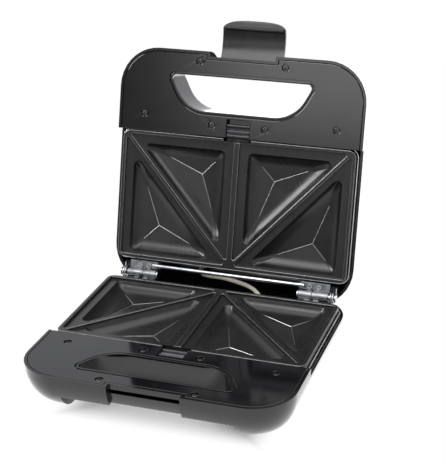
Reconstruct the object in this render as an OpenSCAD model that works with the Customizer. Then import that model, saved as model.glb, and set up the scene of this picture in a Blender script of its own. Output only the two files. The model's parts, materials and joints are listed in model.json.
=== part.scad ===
// Two-slice sandwich toaster with a hinged lid, shown standing open.
// Units are millimetres. X runs across the front, Y from front to rear, Z up.
// Both halves are drawn closed, face to face at the split plane, and the lid
// is then swung open about the hinge axis.

/* [Body] */
// Width of both halves across the front
body_w = 228; // [216:1:244]
// Depth of the handle area in front of the plates
handle_d = 75.2; // [73:0.5:84]
// Depth behind the plates for the hinges
rear_zone = 24.4; // [23:0.2:30]
// Plan radius of the body corners at the split plane
corner_r = 36; // [28:1:42]
// Height of the split plane above the table
base_h = 39.5; // [39.5:0.5:48]
// Depth of the lid from the split plane to its top
lid_h = 36; // [35.5:0.5:44]
// Wall of both housings
wall = 2.4; // [1.8:0.1:3]
// How far the front wall leans in over its height
lean_front = 30; // [20:1:32]
// How far the side walls lean in over their height
lean_side = 22; // [14:1:24]
// How far the rear wall leans in over its height
lean_rear = 14; // [6:1:15]
// Gap between the two halves when shut
closing_gap = 0.6; // [0.4:0.1:1.5]
// How far the rim drops beside the plates
rim_drop = 8; // [7.5:0.5:9]

/* [Handle] */
// Thickness of the flat handle cover
trim_t = 2.6; // [2.2:0.1:3]
// Gap around the handle cover
trim_gap = 0.6; // [0.4:0.1:1]
// Half the width of the carrying opening
grip_half = 65.2; // [58:0.5:67]
// Front edge of the carrying opening
grip_y = 20.5; // [19.5:0.5:23]
// Width of the bar between the carrying opening and the plate wall
grip_bar = 17.7; // [16.5:0.1:19]
// Radius of the front corners of the carrying opening
grip_front_r = 3.6; // [2.5:0.1:5]
// Depth of the carrying opening ahead of the middle of its rounded sides
grip_lead = 2; // [1.5:0.1:5]
// How far the tips of the carrying opening run out past its rounded sides
grip_tip = 2.7; // [1:0.1:4]
// Depth of the front wall over the finger room
front_wall_h = 19.5; // [18.5:0.5:22]
// Half the width of the finger room under the base
finger_half = 72; // [66:0.5:73]
// Half the width of the notch at the front
notch_half = 30.3; // [30:0.1:31.5]
// Depth of the notch at the front
notch_d = 4.5; // [4.2:0.1:5]

/* [Plates] */
// Depth of each cooking plate from front to rear
plate_d = 118; // [112:0.5:124]
// Space between the side of a plate and the side of the body
plate_margin = 5.3; // [5:0.1:6.5]
// Gap between the handle cover and a plate
plate_gap = 0.4; // [0.3:0.1:0.7]
// Corner radius of a plate
plate_r = 7; // [4:0.5:9]
// Width of the raised rim and of the slanting ribs
rib_w = 3.5; // [3:0.1:4.5]
// Width of the middle rib
mid_rib_w = 5.6; // [4:0.1:7]
// Height of the rim and ribs over the plate's flat
rib_h = 2.6; // [2:0.1:3]
// Thickness of the plate metal
plate_t = 2.6; // [2:0.1:3]
// Depth of the side skirt of a plate
skirt_d = 7.5; // [6.5:0.5:8]
// Depth from the flat to the foot of the curved pocket walls
pocket_wall_d = 7.8; // [7:0.1:8.4]
// Width of the curved pocket walls
pocket_wall_w = 11; // [9:0.5:13]
// Depth from the flat to the lowest point of a pocket
pocket_d = 9.6; // [9:0.1:10.2]
// Corner radius of a pocket at the flat
pocket_r = 4.5; // [3.5:0.5:6]

/* [Heating] */
// Thickness of the steel pan
pan_t = 0.8; // [0.6:0.1:1]
// Gap between a plate and the steel pan around it
pan_gap = 0.7; // [0.5:0.1:0.9]
// Depth of the steel pan below the split plane
pan_d = 25; // [24.5:0.5:25.5]
// Height of the thermostat under the lower pan
thermostat_h = 5; // [4:0.5:5.5]
// Diameter of the thermostat
thermostat_dia = 22; // [18:1:30]
// Gap between the thermostat and the floor of the base
floor_gap = 2.8; // [1:0.1:3.6]
// Diameter of the heating element
element_dia = 6.5; // [5:0.1:6.6]
// Front to rear distance between the element's legs
element_pitch = 56; // [44:1:66]

/* [Hinge] */
// Distance of the hinge axis behind the plates
hinge_back = 13.4; // [13:0.1:14.5]
// Height of the hinge axis over the split plane
hinge_z = -1.5; // [-2:0.1:-0.8]
// Angle that the lid stands open
open_angle = 104; // [95:1:106]
// Diameter of the hinge pins
pin_dia = 5; // [4:0.1:5.4]
// Running gap around the hinge pins
pin_play = 0.1; // [0.06:0.02:0.2]
// Thickness of the hinge leaves
leaf_t = 1.6; // [1.2:0.1:1.8]
// Distance from the side of the body to a hinge leaf
leaf_inset = 19; // [18.5:0.1:22]
// Width of a hinge leaf
leaf_w = 27; // [25:0.5:27.5]
// Distance of the leaf screws ahead of the hinge axis
leaf_screw_back = 6.8; // [6.4:0.1:7]
// Length of the leaf screws under their heads
leaf_screw_h = 8; // [6:0.5:9]
// Side gap between the two knuckles
knuckle_gap = 0.4; // [0.3:0.1:0.6]
// Wire thickness of the lid springs
spring_wire = 1.3; // [1:0.1:1.3]
// Mean radius of the lid springs
spring_r = 4.55; // [4.5:0.05:4.8]
// Length of the straight ends of the lid springs
spring_leg = 8; // [5:0.5:9]
// Diameter of the rod between the leaves
rod_dia = 4.4; // [3:0.1:4.6]

/* [Latch] */
// Half the width of the latch
latch_half = 29.5; // [26:0.5:29.5]
// Thickness of the latch
latch_t = 2.4; // [2:0.1:2.6]
// Distance of the latch pin behind the front edge
latch_pin_y = 12; // [11:0.1:13]
// Height of the latch pin over the split plane
latch_pin_z = 26.5; // [25.5:0.1:27.5]
// Diameter of the latch pin
latch_pin_dia = 3; // [2.4:0.1:3.4]
// Depth of the lip that the latch hooks under
lip_h = 4.8; // [4:0.1:5.5]
// Height of the slot that takes the hook
slot_h = 3.8; // [3.6:0.1:4.5]
// How far the latch tab reaches below the split plane
tab_d = 12.7; // [11.5:0.1:14]
// Angle that the latch swings
latch_swing = 81; // [70:1:82]

/* [Catch] */
// Half the width of a plate catch
catch_half = 10.6; // [9:0.1:11.5]
// Travel of a plate catch
catch_travel = 4; // [3:0.5:4.5]
// How far the catch nose reaches over the plate
nose_reach = 2.8; // [1.5:0.1:3]
// Running gap around a plate catch
catch_gap = 0.35; // [0.3:0.05:0.5]

/* [Screws and feet] */
// Distance between the air slots under the base
vent_pitch = 16; // [12:0.5:18]
// Length of the air slots under the base
vent_l = 28; // [20:1:30]
// Width of the air slots under the base
vent_w = 4; // [3:0.1:5]
// Shank diameter of the cover screws
screw_dia = 3; // [2.5:0.1:3.4]
// Head diameter of the cover screws
screw_head = 5.6; // [5:0.1:6.2]
// Diameter of the screw posts
post_dia = 7.5; // [6.8:0.1:8.4]
// Diameter of the rubber feet
pad_dia = 17; // [12:0.5:18]
// Height of the rubber feet
pad_t = 3; // [2:0.5:3]
// Distance from the side of the body to the middle of a foot
pad_inset = 33; // [31:0.5:36]
// Diameter of the bore for the mains cord
cord_bore = 6.8; // [5:0.1:8]
// Thickness of the lead between the two halves
lead_dia = 4; // [3:0.1:4.5]

/* [Hidden] */
$fn = 48;
eps = 0.02;
hw = body_w / 2;
face = closing_gap / 2;
body_d = handle_d + plate_gap + plate_d + rear_zone;
base_depth = base_h - pad_t - face;
belly_d = pan_d + thermostat_h + floor_gap + wall;
plate_y0 = handle_d + plate_gap;
plate_y1 = plate_y0 + plate_d;
plate_hw = hw - plate_margin;
leaf_x = hw - leaf_inset - leaf_w;
pad_x = hw - pad_inset;
hinge_y = plate_y1 + hinge_back;
flat_d = rib_h;
knuckle_r = pin_dia / 2 + pin_play / 2 + leaf_t;
bulk_y = plate_y0 - 2 - wall;
grip_d = bulk_y - grip_bar - grip_y;
grip_rear_r = grip_d - grip_lead;
shelf_d = 5.6;
tilt = open_angle - 90;
steps = [0, 0.17, 0.33, 0.48, 0.61, 0.72, 0.81, 0.88, 0.94, 0.98, 1];
coarse_steps = [0, 0.4, 0.7, 0.9, 1];

// Height of a quarter ellipse at a fraction t of its depth
function lean(t) = 1 - sqrt(1 - t * t);
function front_at(depth, d) = lean_front * lean(min(1, max(0, d / depth)));
function side_at(depth, d) = lean_side * lean(min(1, max(0, d / depth)));
function rear_at(depth, d) = lean_rear * lean(min(1, max(0, d / depth)));
function arc(x, y, r, a0, a1, n) =
    [for (i = [0:n]) [x + r * cos(a0 + (a1 - a0) * i / n), y + r * sin(a0 + (a1 - a0) * i / n)]];
function round_box(x, y0, y1, r, n = 6) = concat(
    arc(-x + r, y0 + r, r, 180, 270, n), arc(x - r, y0 + r, r, 270, 360, n),
    arc(x - r, y1 - r, r, 0, 90, n), arc(-x + r, y1 - r, r, 90, 180, n));
function lift(points, z) = [for (p = points) [p[0], p[1], z]];
function flip(points) = [for (i = [len(points) - 1:-1:0]) [-points[i][0], points[i][1]]];
function span(p, q) = norm(q - p);
function upward(rings) = [for (i = [len(rings) - 1:-1:0]) rings[i]];

// Point of the closed lid moved to where it stands open
function opened(y, z) = [
    hinge_y + (y - hinge_y) * cos(open_angle) + (z - hinge_z) * sin(open_angle),
    hinge_z - (y - hinge_y) * sin(open_angle) + (z - hinge_z) * cos(open_angle)];
// Point of the shut latch moved to where it stands open
function latch_out(y, z) = [
    latch_pin_y + (y - latch_pin_y) * cos(latch_swing) + (z - latch_pin_z) * sin(latch_swing),
    latch_pin_z - (y - latch_pin_y) * sin(latch_swing) + (z - latch_pin_z) * cos(latch_swing)];

// Skin over a stack of rings with equal counts of points
module loft(rings) {
    n = len(rings[0]);
    m = len(rings);
    polyhedron(
        points = [for (r = rings) each r],
        faces = concat(
            [[for (i = [0:n - 1]) i]],
            [for (j = [0:m - 2]) for (i = [0:n - 1])
                [j * n + i, (j + 1) * n + i, (j + 1) * n + (i + 1) % n]],
            [for (j = [0:m - 2]) for (i = [0:n - 1])
                [j * n + i, (j + 1) * n + (i + 1) % n, j * n + (i + 1) % n]],
            [[for (i = [n - 1:-1:0]) (m - 1) * n + i]]));
}
// Round tube along a list of points, with frames carried from ring to ring
function unit(v) = v / norm(v);
function turned(u, t) = unit(u - t * (u * t));
function tangents(p) = [for (i = [0:len(p) - 1])
    unit(p[min(i + 1, len(p) - 1)] - p[max(i - 1, 0)])];
function frames(t, u, i = 0) =
    i >= len(t) ? [] : concat([turned(u, t[i])], frames(t, turned(u, t[i]), i + 1));
module tube(path, r, sides) {
    t = tangents(path);
    u = frames(t, abs(t[0][2]) < 0.9 ? [0, 0, 1] : [1, 0, 0]);
    loft([for (i = [0:len(path) - 1]) [for (k = [0:sides - 1])
        path[i] + r * cos(360 * k / sides) * u[i] + r * sin(360 * k / sides) * cross(t[i], u[i])]]);
}

// Half frames: the mating face lies at Z = 0 and the half reaches down from it
module lower_half() {
    translate([0, -mid_y, base_h - face]) children();
}
module closed_frame() {
    translate([0, -mid_y, base_h]) children();
}
module lid_frame() {
    closed_frame() translate([0, hinge_y, hinge_z]) rotate([-open_angle, 0, 0])
        translate([0, -hinge_y, -hinge_z]) children();
}
module upper_half() {
    lid_frame() translate([0, 0, face]) mirror([0, 0, 1]) children();
}
module both_sides() {
    children();
    mirror([1, 0, 0]) children();
}
module along_x(x0, x1) {
    translate([x0, 0, 0]) rotate([90, 0, 90]) linear_extrude(x1 - x0) children();
}
module slab(x0, x1, y0, y1, z0, z1) {
    translate([x0, y0, z0]) cube([x1 - x0, y1 - y0, z1 - z0]);
}

// Outer or inner form of a half, as a bowl that leans in towards its foot
module bowl(depth, off, levels = steps, n = 9) {
    loft(upward([for (t = levels) lift(round_box(
        hw - lean_side * lean(t) - off,
        lean_front * lean(t) + off,
        body_d - lean_rear * lean(t) - off,
        max(4, corner_r - 20 * lean(t) - off), n), -t * (depth - off))]));
}

// Outline of the carrying opening, grown by off
grip_x1 = grip_half - grip_front_r;
grip_x2 = grip_half - grip_rear_r - grip_tip;
grip_y1 = grip_y + grip_front_r;
grip_y2 = grip_y + grip_d - grip_rear_r;
grip_gap = norm([grip_x1 - grip_x2, grip_y1 - grip_y2]);
grip_turn = atan2(grip_y1 - grip_y2, grip_x1 - grip_x2) + acos((grip_rear_r - grip_front_r) / grip_gap);
function grip_side(off) = concat(
    arc(grip_x1, grip_y1, grip_front_r + off, -90, grip_turn, 5),
    arc(grip_x2, grip_y2, grip_rear_r + off, grip_turn, 90, 6));
function grip(off) = concat(grip_side(off), flip(grip_side(off)));

// Places of the six cover screws
screw_spots = [[notch_half + 9.4, 9.4], [catch_half + 14.1, bulk_y - 6.4], [hw - 24.4, bulk_y - 11.6]];

// Notch at the front, following the lean of the wall
function notch_line(depth, d0, d1, back) = concat(
    [[-20, -d1], [-20, -d0]],
    [for (i = [0:6]) [front_at(depth, d0 + (d1 - d0) * i / 6) + back, -d0 - (d1 - d0) * i / 6]]);
module notch(depth, top, grow) {
    along_x(-notch_half - grow, notch_half + grow)
        polygon(notch_line(depth, -1, top + grow, notch_d + grow));
}

// Flat handle cover with its opening, screw holes and catch window
module cover() {
    side = hw - wall - trim_gap;
    front = wall + trim_gap;
    r = corner_r - front;
    difference() {
        translate([0, 0, -trim_t]) linear_extrude(trim_t) polygon(concat(
            arc(-side + r, front + r, r, 180, 270, 8),
            [[-notch_half - front, front], [-notch_half - front, notch_d + front]],
            [[notch_half + front, notch_d + front], [notch_half + front, front]],
            arc(side - r, front + r, r, 270, 360, 8),
            [[side, handle_d], [-side, handle_d]]));
        translate([0, 0, -trim_t - 1]) linear_extrude(trim_t + 2) polygon(grip(0));
        translate([0, 0, -0.6]) linear_extrude(1) difference() {
            polygon(grip(3.2));
            polygon(grip(2.2));
        }
        slab(-catch_half - catch_gap, catch_half + catch_gap,
            catch_front - catch_travel - catch_gap, handle_d + 1, -trim_t - 1, 1);
        for (s = screw_spots) both_sides() translate([s[0], s[1], 0]) {
            translate([0, 0, -1.8]) cylinder(h = 3, d = screw_head + 1);
            translate([0, 0, -trim_t - 1]) cylinder(h = trim_t + 2, d = screw_dia + 0.2);
        }
    }
}
module cover_screws() {
    for (s = screw_spots) both_sides() translate([s[0], s[1], -1.8]) {
        difference() {
            union() {
                cylinder(h = 1.3, d = screw_head);
                translate([0, 0, -9]) cylinder(h = 9.1, d = screw_dia);
            }
            slab(-1.9, 1.9, -0.35, 0.35, 0.5, 2);
            slab(-0.35, 0.35, -1.9, 1.9, 0.5, 2);
        }
    }
}

// Inner walls and posts that both housings share
module posts(depth, inside, front_inside) {
    for (s = screw_spots) both_sides() translate([s[0], s[1], 0])
        let (low = s[0] > finger_half ? inside : s[1] < 20 ? min(front_inside, depth / 2) : front_inside)
            translate([0, 0, -low - 0.6]) cylinder(h = low + 0.6 - trim_t, d = post_dia);
    slab(-plate_hw, plate_hw, bulk_y, bulk_y + wall, -front_inside - 0.6, -trim_t);
    slab(-shelf_half, shelf_half, catch_front - catch_travel - 3, bulk_y + 0.5, -shelf_d - 2, -shelf_d);
}
shelf_half = catch_half + 4.5;
// Wall around the carrying opening
module grip_tube(low) {
    translate([0, 0, -low]) linear_extrude(low - trim_t) polygon(grip(wall));
}
// Blocks under the hinge leaves, with a lower step that takes the leg of the spring
module hinge_blocks(floor_d, seat, step, step_w) {
    both_sides() {
        slab(block_x0, block_x1, hinge_y - hinge_back + 2.2, hinge_y + 2, -floor_d - 0.6, -seat);
        slab(block_x1 - 1, block_x1 + step_w, hinge_y - spring_leg - 1, hinge_y + 2, -floor_d - 0.6, -step);
    }
}
module post_bores() {
    for (s = screw_spots) both_sides()
        translate([s[0], s[1], -trim_t - 11]) cylinder(h = 14, d = screw_dia + 0.1);
    slab(-catch_half - 3 - catch_gap, catch_half + 3 + catch_gap, bulk_y - 1, bulk_y + wall + 1, -shelf_d, 1);
}
// Space above the rim beside and behind the plates
module rim_cut() {
    slab(-hw - 1, hw + 1, handle_d, body_d + 1, -rim_drop, 1);
}

// Finger room under the handle, between the front feet
module finger_room(grow) {
    slab(-finger_half - grow, finger_half + grow, -1, bulk_y + grow, -base_h - 1, -front_wall_h + grow);
}
base_floor = belly_d - wall;
rear_cut_d = 20;
gland_x = -58;
gland_d = base_floor - 5.5;
gland_y = body_d - 1.8;
gland_neck = 9;
block_x0 = leaf_x - 2;
block_x1 = leaf_x + leaf_w;
seat_base = -hinge_z + knuckle_r - face;
seat_lid = hinge_z + knuckle_r - face;
spring_x0 = block_x1 + 1.2;
spring_x1 = spring_x0 + 4.1;

module base_shell() {
    color([0.13, 0.13, 0.14]) lower_half() difference() {
        union() {
            difference() {
                bowl(base_depth, 0);
                finger_room(0);
                notch(base_depth, front_wall_h + 2, 0);
                slab(-finger_half, finger_half, 20, body_d + 5, -base_h, -belly_d);
                slab(-hw, hw, 66, body_d - 52, -base_h, -belly_d);
                rim_cut();
                along_x(-hw - 1, hw + 1) polygon([[hinge_y + 1, -rim_drop + 1], [hinge_y + 1, -rim_drop],
                    [body_d - 1.5, -rear_cut_d], [body_d + 3, -rear_cut_d], [body_d + 3, -rim_drop + 1]]);
                difference() {
                    bowl(base_depth, wall);
                    finger_room(wall);
                    notch(base_depth, front_wall_h + 2, wall);
                    slab(-hw, hw, -5, body_d + 5, -base_h, -base_floor);
                }
            }
            intersection() {
                bowl(base_depth, wall / 2, coarse_steps, 5);
                union() {
                    posts(base_depth, base_floor, front_wall_h - wall);
                    grip_tube(front_wall_h - 0.5);
                    hinge_blocks(base_floor, seat_base, spring_r + spring_wire / 2 + 0.3 - hinge_z - face, 2.6);
                }
            }
            translate([gland_x, gland_y, -gland_d]) rotate([90, 0, 0]) cylinder(h = gland_neck, d = cord_bore + 9);
        }
        translate([0, 0, -base_h]) linear_extrude(base_h + 5) polygon(grip(0));
        slab(-latch_half - 0.7, latch_half + 0.7, notch_d - 2, notch_d + wall + 2, -lip_h - slot_h, -lip_h);
        post_bores();
        for (x = [8.5, 17]) both_sides() translate([leaf_x + x, leaf_screw_y, -seat_base - leaf_screw_h - 1])
            cylinder(h = leaf_screw_h + 2, d = screw_dia + 0.1);
        translate([gland_x, gland_y + 1, -gland_d]) rotate([90, 0, 0]) cylinder(h = gland_neck + 3, d = cord_bore + 4.2);
        translate([gland_x, gland_y - gland_neck, -gland_d]) rotate([90, 0, 0]) cylinder(h = 3, d = cord_bore + 7);
        for (i = [-2.5:2.5]) for (s = [-1, 1]) translate([i * vent_pitch, plate_mid + s * vent_l * 0.9, 0])
            slab(-vent_w / 2, vent_w / 2, -vent_l / 2, vent_l / 2, -base_h, -base_floor + 1);
    }
}
leaf_screw_y = hinge_y - leaf_screw_back;

module base_cover() {
    color([0.16, 0.16, 0.17]) lower_half() cover();
}
module base_cover_screws() {
    color([0.3, 0.3, 0.31]) lower_half() cover_screws();
}
module lid_cover() {
    color([0.16, 0.16, 0.17]) upper_half() cover();
}
module lid_cover_screws() {
    color([0.3, 0.3, 0.31]) upper_half() cover_screws();
}

lamp_x = 14;
lamp_y = bulk_y - 7;
lamp_dia = 7;
pivot_d = latch_pin_z - face;
module lid_shell() {
    inside = lid_h - wall;
    color([0.13, 0.13, 0.14]) upper_half() difference() {
        union() {
            difference() {
                bowl(lid_h, 0);
                notch(lid_h, pivot_d + 5, 0);
                rim_cut();
                difference() {
                    bowl(lid_h, wall);
                    notch(lid_h, pivot_d + 5, wall);
                    along_x(-notch_half - wall, notch_half + wall)
                        translate([latch_pin_y, -pivot_d]) circle(d = latch_pin_dia + 7 + 2 * wall);
                }
            }
            intersection() {
                bowl(lid_h, wall / 2, coarse_steps, 5);
                union() {
                    posts(lid_h, inside, inside);
                    grip_tube(inside + 0.5);
                    hinge_blocks(inside, seat_lid, spring_r + spring_wire / 2 + 0.3 + hinge_z - face,
                        spring_x1 + 1 - block_x1);
                }
            }
        }
        translate([0, 0, -lid_h - 5]) linear_extrude(lid_h + 10) polygon(grip(0));
        along_x(-notch_half, notch_half)
            translate([latch_pin_y, -pivot_d]) circle(d = latch_pin_dia + 7);
        along_x(-notch_half - wall - 1, notch_half + wall + 1)
            translate([latch_pin_y, -pivot_d]) circle(d = latch_pin_dia + 0.1);
        post_bores();
        for (x = [8.5, 17]) both_sides() translate([leaf_x + x, leaf_screw_y, -seat_lid - leaf_screw_h - 1])
            cylinder(h = leaf_screw_h + 2, d = screw_dia + 0.1);
        both_sides() translate([lamp_x, lamp_y, -lid_h - 1]) cylinder(h = wall + 2, d = lamp_dia + 0.4);
    }
}
// Pocket of a plate: a steep rounded wall, then a floor that falls to one point
inner_pocket = [[10.8, plate_y0 + 11.4], [plate_hw - 15.7, plate_y0 + 11.4], [10.8, plate_y1 - 17.1]];
outer_pocket = [[plate_hw - 10.7, plate_y1 - 5.6], [15.5, plate_y1 - 5.6], [plate_hw - 10.7, plate_y0 + 20.4]];
function incentre(t) = let (a = span(t[1], t[2]), b = span(t[0], t[2]), c = span(t[0], t[1]))
    (a * t[0] + b * t[1] + c * t[2]) / (a + b + c);
function inradius(t) = let (a = span(t[1], t[2]), b = span(t[0], t[2]), c = span(t[0], t[1]), s = (a + b + c) / 2)
    sqrt((s - a) * (s - b) * (s - c) / s);
function shrunk(t, d) = [for (p = t) incentre(t) + (p - incentre(t)) * (inradius(t) - d) / inradius(t)];
function ccw(t) = cross(t[1] - t[0], t[2] - t[0]) > 0 ? t : [t[0], t[2], t[1]];
function corner_arc(t, i, r, n) = let (
        p = t[i], q = t[(i + 1) % 3], o = t[(i + 2) % 3],
        a = atan2(p[1] - o[1], p[0] - o[0]) - 90,
        b = atan2(q[1] - p[1], q[0] - p[0]) - 90,
        b2 = b < a ? b + 360 : b)
    arc(p[0], p[1], r, a, b2, n);
function pocket_ring(t, d, r, z) = let (s = ccw(shrunk(t, d + r)))
    lift(concat(corner_arc(s, 0, r, 7), corner_arc(s, 1, r, 7), corner_arc(s, 2, r, 7)), z);
// Section of the curved wall, as shares of its width and depth
cove = [[0, 0], [0.12, 0.26], [0.31, 0.56], [0.58, 0.83], [1, 1]];
module pocket(t, off, top) {
    loft(upward(concat(
        [pocket_ring(t, -off, pocket_r + off, top)],
        [for (c = cove) pocket_ring(t, pocket_wall_w * c[0] - off, pocket_r * (1 - 0.7 * c[0]) + off,
            -flat_d - pocket_wall_d * c[1] - off)],
        [pocket_ring(t, inradius(t) - 0.6, 0.3, -flat_d - pocket_d - off)])));
}
module pockets(off, top) {
    for (t = [inner_pocket, outer_pocket]) {
        pocket(t, off, top);
        pocket([for (p = t) [-p[0], p[1]]], off, top);
    }
}
notch_plate = catch_half + 2;
module rib(p, q, w) {
    d = unit(q - p);
    n = [-d[1], d[0]] * w / 2;
    polygon([p + n, p - n, q - n, q + n]);
}
// Cooking plate with a raised rim, a middle rib, two slanting ribs and four pockets
module plate() {
    difference() {
        union() {
            translate([0, 0, -flat_d - plate_t]) linear_extrude(plate_t)
                polygon(round_box(plate_hw, plate_y0, plate_y1, plate_r));
            translate([0, 0, -skirt_d]) linear_extrude(skirt_d) difference() {
                polygon(round_box(plate_hw, plate_y0, plate_y1, plate_r));
                polygon(round_box(plate_hw - rib_w, plate_y0 + rib_w, plate_y1 - rib_w, plate_r - 2.5));
            }
            translate([0, 0, -flat_d - 0.1]) linear_extrude(flat_d + 0.1) {
                rib([0, plate_y0 + 1], [0, plate_y1 - 1], mid_rib_w);
                rib([plate_hw - 4.5, plate_y0 + 3.5], [1.5, plate_y1 - 3], rib_w);
                rib([-plate_hw + 4.5, plate_y0 + 3.5], [-1.5, plate_y1 - 3], rib_w);
            }
            pockets(plate_t, -flat_d - 0.5);
        }
        pockets(0, 1);
        slab(-notch_plate, notch_plate, plate_y0 - 1, plate_y0 + nose_reach + 1.2, -flat_d - 0.4, 1);
    }
}
module lower_plate() {
    color([0.25, 0.25, 0.26]) lower_half() plate();
}
module upper_plate() {
    color([0.25, 0.25, 0.26]) upper_half() plate();
}

// Steel pan around the underside of a plate
module pan_form(off) {
    x = plate_hw + pan_gap + pan_t - off;
    y0 = plate_y0 - pan_gap - pan_t + off;
    y1 = plate_y1 + pan_gap + pan_t - off;
    r = plate_r + pan_gap + pan_t - off;
    loft(upward([
        lift(round_box(x, y0, y1, r), off > 0 ? 1 : -4.6),
        lift(round_box(x, y0, y1, r), -8),
        lift(round_box(x - 9, y0 + 6, y1 - 6, r), -pan_d + off)]));
}
module pan() {
    difference() {
        pan_form(0);
        pan_form(pan_t);
        slab(-notch_plate, notch_plate, plate_y0 - 4, plate_y0 + 1, -8, 1);
    }
}
module lower_pan() {
    color([0.75, 0.75, 0.76]) lower_half() pan();
}
module upper_pan() {
    color([0.75, 0.75, 0.76]) upper_half() pan();
}

// Tubular heating element, a long loop on two straps
plate_mid = (plate_y0 + plate_y1) / 2;
element_z = -pan_d + pan_t + 0.05 + element_dia / 2;
element_x = 62;
module element() {
    translate([0, plate_mid, element_z]) {
        for (s = [-1, 1]) translate([-element_x - 12, s * element_pitch / 2, 0]) rotate([0, 90, 0])
            cylinder(h = 2 * element_x + 12, d = element_dia, $fn = 24);
        translate([element_x - eps, 0, 0]) rotate([0, 0, -90])
            rotate_extrude(angle = 180, $fn = 40) translate([element_pitch / 2, 0]) circle(d = element_dia, $fn = 24);
        for (s = [-1, 1]) translate([-element_x - 20, s * element_pitch / 2, 0]) rotate([0, 90, 0])
            cylinder(h = 10, d = 3);
    }
}
module straps() {
    for (x = [-40, 40]) for (s = [-1, 1]) translate([x, plate_mid + s * element_pitch / 2, 0]) difference() {
        union() {
            slab(-4, 4, -8, 8, -pan_d + pan_t, -pan_d + pan_t + 0.8);
            translate([-4, 0, element_z]) rotate([0, 90, 0]) cylinder(h = 8, d = element_dia + 1.8);
        }
        translate([-5, 0, element_z]) rotate([0, 90, 0]) cylinder(h = 10, d = element_dia + 0.2);
        slab(-5, 5, -10, 10, -pan_d - 4, -pan_d + pan_t);
    }
}
module lower_element() {
    color([0.45, 0.43, 0.42]) lower_half() element();
}
module upper_element() {
    color([0.45, 0.43, 0.42]) upper_half() element();
}
module lower_element_straps() {
    color([0.7, 0.7, 0.71]) lower_half() straps();
}
module upper_element_straps() {
    color([0.7, 0.7, 0.71]) upper_half() straps();
}
module thermostat() {
    color([0.85, 0.84, 0.8]) lower_half() {
        translate([0, plate_mid, -pan_d - thermostat_h]) cylinder(h = thermostat_h, d = thermostat_dia);
        for (s = [-1, 1]) translate([s * (thermostat_dia / 2 + 2.5), 0, 0])
            slab(-3, 3, plate_mid - 3, plate_mid + 3, -pan_d - thermostat_h * 0.7, -pan_d - thermostat_h * 0.5);
    }
}

// Sprung catch that holds the front of a plate
catch_front = bulk_y - 8.2;
module catch() {
    difference() {
        union() {
            slab(-catch_half, catch_half, catch_front, plate_y0 - 0.2, -shelf_d + 0.3, -0.9);
            slab(-catch_half - 3, catch_half + 3, catch_front, bulk_y - 0.2 + wall, -shelf_d + 0.3, -trim_t - 0.3);
            slab(-catch_half, catch_half, plate_y0 - 1, plate_y0 + nose_reach, -flat_d - 0.1, -0.9);
        }
        for (i = [0:3]) slab(-catch_half + 1.5, catch_half - 1.5,
            catch_front + 1.4 + 2.4 * i, catch_front + 2.4 + 2.4 * i, -1.7, 1);
    }
}
module lower_catch() {
    color([0.42, 0.4, 0.45]) lower_half() catch();
}
module upper_catch() {
    color([0.42, 0.4, 0.45]) upper_half() catch();
}

// Hinge leaves: a flat with two screws and a rolled knuckle around the pin
knuckle_split = leaf_x + 11.8;
module leaf(x0, x1) {
    difference() {
        union() {
            slab(leaf_x, leaf_x + leaf_w, hinge_y - hinge_back + 2.4, hinge_y - knuckle_r - 0.3,
                hinge_z + knuckle_r - leaf_t, hinge_z + knuckle_r);
            slab(x0, x1, hinge_y - knuckle_r - 0.4, hinge_y, hinge_z + knuckle_r - leaf_t, hinge_z + knuckle_r);
            translate([x0, hinge_y, hinge_z]) rotate([0, 90, 0]) cylinder(h = x1 - x0, r = knuckle_r);
        }
        translate([x0 - 1, hinge_y, hinge_z]) rotate([0, 90, 0])
            cylinder(h = x1 - x0 + 2, d = pin_dia + pin_play);
        for (x = [8.5, 17]) translate([leaf_x + x, leaf_screw_y, hinge_z]) cylinder(h = 10, d = screw_dia + 0.2);
    }
}
module under_hinge() {
    translate([0, 0, 2 * hinge_z]) mirror([0, 0, 1]) children();
}
module base_leaf_left() {
    color([0.72, 0.74, 0.76]) closed_frame() mirror([1, 0, 0]) under_hinge() leaf(leaf_x, knuckle_split);
}
module base_leaf_right() {
    color([0.72, 0.74, 0.76]) closed_frame() under_hinge() leaf(leaf_x, knuckle_split);
}
module lid_leaf_left() {
    color([0.72, 0.74, 0.76]) lid_frame() mirror([1, 0, 0]) leaf(knuckle_split + knuckle_gap, leaf_x + leaf_w);
}
module lid_leaf_right() {
    color([0.72, 0.74, 0.76]) lid_frame() leaf(knuckle_split + knuckle_gap, leaf_x + leaf_w);
}
module leaf_screws() {
    for (x = [8.5, 17]) both_sides() translate([leaf_x + x, leaf_screw_y, hinge_z + knuckle_r - leaf_t]) {
        difference() {
            translate([0, 0, -1.5]) cylinder(h = 1.5, d = screw_head - 0.4);
            slab(-1.8, 1.8, -0.35, 0.35, -2, -0.9);
            slab(-0.35, 0.35, -1.8, 1.8, -2, -0.9);
        }
        cylinder(h = leaf_screw_h, d = screw_dia);
    }
}
module base_leaf_screws() {
    color([0.8, 0.81, 0.83]) closed_frame() under_hinge() leaf_screws();
}
module lid_leaf_screws() {
    color([0.8, 0.81, 0.83]) lid_frame() leaf_screws();
}
module hinge_pins() {
    color([0.82, 0.83, 0.85]) closed_frame() both_sides() translate([0, hinge_y, hinge_z]) rotate([0, 90, 0]) {
        translate([0, 0, leaf_x - 0.4]) cylinder(h = spring_x1 + 0.9 - leaf_x + 0.4, d = pin_dia);
        translate([0, 0, leaf_x - 1.6]) cylinder(h = 1.3, d = pin_dia + 2);
        translate([0, 0, spring_x1 + 0.8]) cylinder(h = 0.9, d = pin_dia + 2.4);
    }
}
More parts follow.
